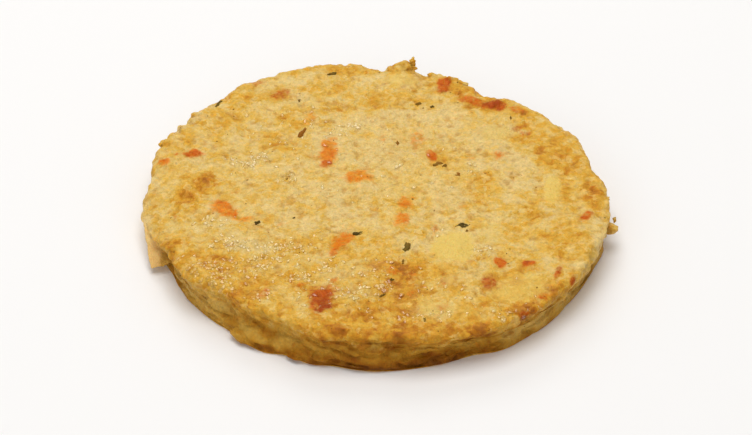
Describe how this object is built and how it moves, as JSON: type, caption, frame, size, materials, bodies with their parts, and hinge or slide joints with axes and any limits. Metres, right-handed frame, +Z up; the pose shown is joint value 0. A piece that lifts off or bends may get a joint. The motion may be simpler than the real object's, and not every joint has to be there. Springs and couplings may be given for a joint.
{
  "type": "salt cod burger",
  "caption": "Round flat fried fish patty with a ragged rim, a rugged browned side wall and small diced vegetables set in its uneven top face.",
  "frame": {"origin": "centre of the bounding box's base, on the surface the patty lies on", "axes": "+Z up out of the top face, -Y towards the viewer of the picture, +X to the viewer's right"},
  "size_m": [0.1052, 0.1008, 0.0117],
  "materials": {
    "fried_crust": "golden fried crust, slightly oily"
  },
  "bodies": {
    "root": {"salt_cod_burger": "fried_crust"}
  },
  "joints": []
}
